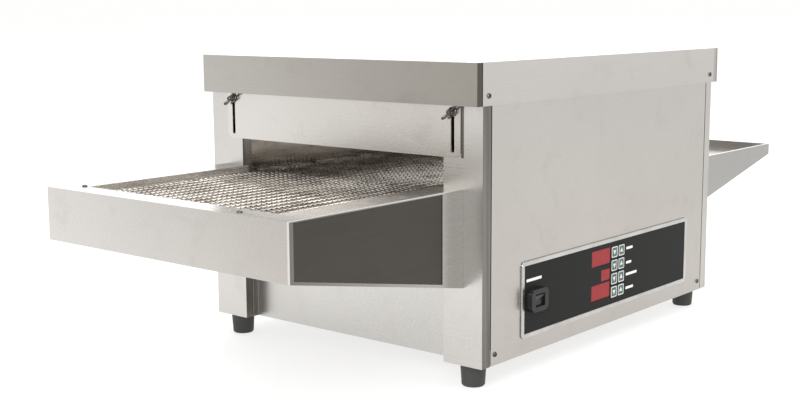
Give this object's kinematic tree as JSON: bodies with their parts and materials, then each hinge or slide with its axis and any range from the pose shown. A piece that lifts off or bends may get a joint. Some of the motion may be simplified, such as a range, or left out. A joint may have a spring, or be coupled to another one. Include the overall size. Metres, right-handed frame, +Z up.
{
  "type": "countertop conveyor pizza oven",
  "caption": "Countertop conveyor pizza oven: steel body on four feet, a wire belt running through it between an infeed and an outfeed tray, adjustable end baffles, digital control panel.",
  "frame": {"origin": "on the worktop under the feet, below the centre of the whole machine, trays included", "axes": "+X along the belt from the infeed tray to the outfeed tray; +Y from the control panel to the rear; +Z up"},
  "size_m": [1.276, 0.5392, 0.435],
  "materials": {
    "casing_steel": "brushed",
    "column_steel": "brushed",
    "screw_steel": "plated",
    "foot_rubber": "matt",
    "baffle_steel": "brushed",
    "wing_nut_steel": "dull",
    "tray_steel": "brushed",
    "side_panel_steel": "brushed, dark",
    "chamber_steel": "heat-tinted",
    "insulation": "fibrous",
    "quartz_tube": "frosted",
    "ceramic": "matt",
    "reflector": "polished",
    "rail_steel": "dull",
    "belt_wire": "woven wire",
    "shaft_steel": "turned",
    "sprocket_steel": "oiled",
    "bush_bronze": "satin",
    "motor_paint": "satin",
    "fascia": "satin",
    "fascia_frame": "satin",
    "display": "translucent red",
    "key": "satin",
    "switch": "gloss",
    "board": "satin",
    "relay": "satin",
    "probe": "satin",
    "fan": "satin",
    "gland": "satin"
  },
  "bodies": {
    "casing": {"base_pan": "casing_steel", "front_panel": "casing_steel", "rear_panel": "casing_steel", "infeed_end_panel": "column_steel", "outfeed_end_panel": "column_steel", "infeed_lower_panel": "column_steel", "outfeed_lower_panel": "column_steel", "lid": "casing_steel", "case_screws": "screw_steel", "feet": "foot_rubber", "baffle_studs": "screw_steel", "infeed_tray": "tray_steel", "infeed_side_panels": "side_panel_steel", "outfeed_tray": "tray_steel", "oven_chamber": "chamber_steel", "chamber_floor": "chamber_steel", "insulation": "insulation", "upper_elements": "quartz_tube", "lower_elements": "quartz_tube", "element_holders": "ceramic", "reflectors": "reflector", "belt_rails": "rail_steel", "conveyor_belt": "belt_wire", "shaft_bearings": "bush_bronze", "gear_motor": "motor_paint", "motor_bracket": "shaft_steel", "drive_chain": "sprocket_steel", "control_fascia": "fascia", "fascia_frame": "fascia_frame", "displays": "display", "switch_housing": "switch", "control_board": "board", "power_relays": "relay", "thermocouple": "probe", "fan_housing": "fan", "cable_gland": "gland"},
    "infeed_baffle": {"infeed_baffle": "baffle_steel"},
    "outfeed_baffle": {"outfeed_baffle": "baffle_steel"},
    "infeed_front_wing_nut": {"infeed_front_wing_nut": "wing_nut_steel"},
    "infeed_rear_wing_nut": {"infeed_rear_wing_nut": "wing_nut_steel"},
    "outfeed_front_wing_nut": {"outfeed_front_wing_nut": "wing_nut_steel"},
    "outfeed_rear_wing_nut": {"outfeed_rear_wing_nut": "wing_nut_steel"},
    "belt_drive": {"drive_shaft": "shaft_steel", "drive_sprockets": "sprocket_steel", "shaft_sprocket": "sprocket_steel"},
    "nose_roller": {"nose_shaft": "shaft_steel", "nose_rollers": "shaft_steel"},
    "motor_output": {"motor_shaft": "shaft_steel", "motor_sprocket": "sprocket_steel"},
    "fan_rotor": {"fan_rotor": "fan"},
    "power_rocker": {"power_rocker": "switch"},
    "crumb_tray": {"crumb_tray": "chamber_steel"},
    "key_1_down": {"key_1_down": "key"},
    "key_1_up": {"key_1_up": "key"},
    "key_2_down": {"key_2_down": "key"},
    "key_2_up": {"key_2_up": "key"},
    "key_3_down": {"key_3_down": "key"},
    "key_3_up": {"key_3_up": "key"},
    "key_4_down": {"key_4_down": "key"},
    "key_4_up": {"key_4_up": "key"}
  },
  "joints": [
    {"name": "infeed_baffle_lift", "type": "slide", "parent": "casing", "child": "infeed_baffle", "axis": [0, 0, 1], "range_m": [0, 0.051]},
    {"name": "outfeed_baffle_lift", "type": "slide", "parent": "casing", "child": "outfeed_baffle", "axis": [0, 0, 1], "range_m": [0, 0.051]},
    {"name": "infeed_front_wing_nut_turn", "type": "hinge", "parent": "casing", "child": "infeed_front_wing_nut", "pos_m": [-0.3195, -0.209, 0.37], "axis": [1, 0, 0], "continuous": true},
    {"name": "infeed_rear_wing_nut_turn", "type": "hinge", "parent": "casing", "child": "infeed_rear_wing_nut", "pos_m": [-0.3195, 0.209, 0.37], "axis": [1, 0, 0], "continuous": true},
    {"name": "outfeed_front_wing_nut_turn", "type": "hinge", "parent": "casing", "child": "outfeed_front_wing_nut", "pos_m": [0.3335, -0.209, 0.37], "axis": [1, 0, 0], "continuous": true},
    {"name": "outfeed_rear_wing_nut_turn", "type": "hinge", "parent": "casing", "child": "outfeed_rear_wing_nut", "pos_m": [0.3335, 0.209, 0.37], "axis": [1, 0, 0], "continuous": true},
    {"name": "belt_drive_spin", "type": "hinge", "parent": "casing", "child": "belt_drive", "pos_m": [0.292, 0, 0.2335], "axis": [0, 1, 0], "continuous": true},
    {"name": "nose_roller_spin", "type": "hinge", "parent": "casing", "child": "nose_roller", "pos_m": [-0.602, 0, 0.2335], "axis": [0, 1, 0], "continuous": true},
    {"name": "motor_spin", "type": "hinge", "parent": "casing", "child": "motor_output", "pos_m": [0.2, 0.226, 0.098], "axis": [0, 1, 0], "continuous": true},
    {"name": "fan_spin", "type": "hinge", "parent": "casing", "child": "fan_rotor", "pos_m": [-0.16, 0.2438, 0.102], "axis": [0, 1, 0], "continuous": true},
    {"name": "power_rocker_tip", "type": "hinge", "parent": "casing", "child": "power_rocker", "pos_m": [-0.1945, -0.2646, 0.106], "axis": [-1, 0, 0], "range_deg": [0, 24]},
    {"name": "crumb_tray_slide", "type": "slide", "parent": "casing", "child": "crumb_tray", "axis": [1, 0, 0], "range_m": [0, 0.55]},
    {"name": "key_1_down_press", "type": "slide", "parent": "casing", "child": "key_1_down", "axis": [0, 1, 0], "range_m": [0, 0.0008], "stiffness_N_per_m": 400},
    {"name": "key_1_up_press", "type": "slide", "parent": "casing", "child": "key_1_up", "axis": [0, 1, 0], "range_m": [0, 0.0008], "stiffness_N_per_m": 400},
    {"name": "key_2_down_press", "type": "slide", "parent": "casing", "child": "key_2_down", "axis": [0, 1, 0], "range_m": [0, 0.0008], "stiffness_N_per_m": 400},
    {"name": "key_2_up_press", "type": "slide", "parent": "casing", "child": "key_2_up", "axis": [0, 1, 0], "range_m": [0, 0.0008], "stiffness_N_per_m": 400},
    {"name": "key_3_down_press", "type": "slide", "parent": "casing", "child": "key_3_down", "axis": [0, 1, 0], "range_m": [0, 0.0008], "stiffness_N_per_m": 400},
    {"name": "key_3_up_press", "type": "slide", "parent": "casing", "child": "key_3_up", "axis": [0, 1, 0], "range_m": [0, 0.0008], "stiffness_N_per_m": 400},
    {"name": "key_4_down_press", "type": "slide", "parent": "casing", "child": "key_4_down", "axis": [0, 1, 0], "range_m": [0, 0.0008], "stiffness_N_per_m": 400},
    {"name": "key_4_up_press", "type": "slide", "parent": "casing", "child": "key_4_up", "axis": [0, 1, 0], "range_m": [0, 0.0008], "stiffness_N_per_m": 400}
  ],
  "couplings": [
    {"joint": "nose_roller_spin", "follows": "belt_drive_spin", "ratio": 1},
    {"joint": "motor_spin", "follows": "belt_drive_spin", "ratio": 1}
  ]
}
